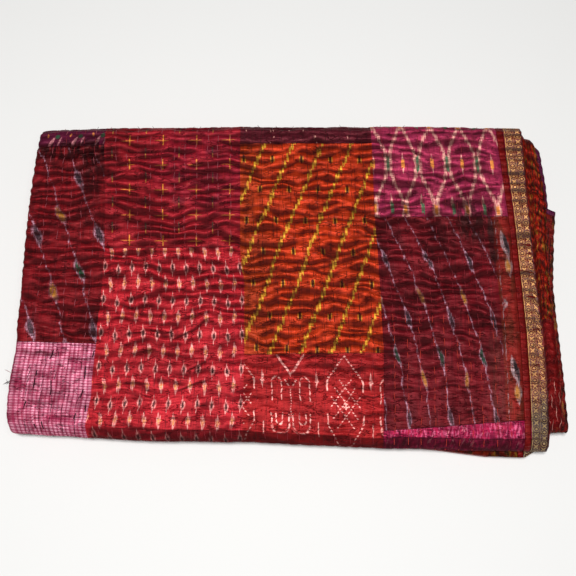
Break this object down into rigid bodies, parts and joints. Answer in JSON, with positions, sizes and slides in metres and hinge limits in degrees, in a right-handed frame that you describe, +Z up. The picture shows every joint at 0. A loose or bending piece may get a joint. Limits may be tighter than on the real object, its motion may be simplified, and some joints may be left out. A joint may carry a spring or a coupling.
{
  "type": "kantha quilt",
  "caption": "Patchwork kantha quilt of old ikat silks, hand-stitched in rippled rows, folded flat, with a red binding and a zari ribbon on its short edge.",
  "frame": {"origin": "under the middle of the folded quilt's footprint, on the surface that it lies on", "axes": "+X along the long side, towards the bound edge with the ribbon; +Y towards the back fold; +Z up"},
  "size_m": [0.6074, 0.386, 0.042],
  "materials": {
    "silk_patchwork": "worn patched silk with running stitches",
    "silk_binding": "plain red silk",
    "zari_brocade": "red ribbon brocaded with gold thread"
  },
  "bodies": {
    "root": {"quilt": "silk_patchwork", "binding": "silk_binding", "zari_ribbon": "zari_brocade"}
  },
  "joints": []
}
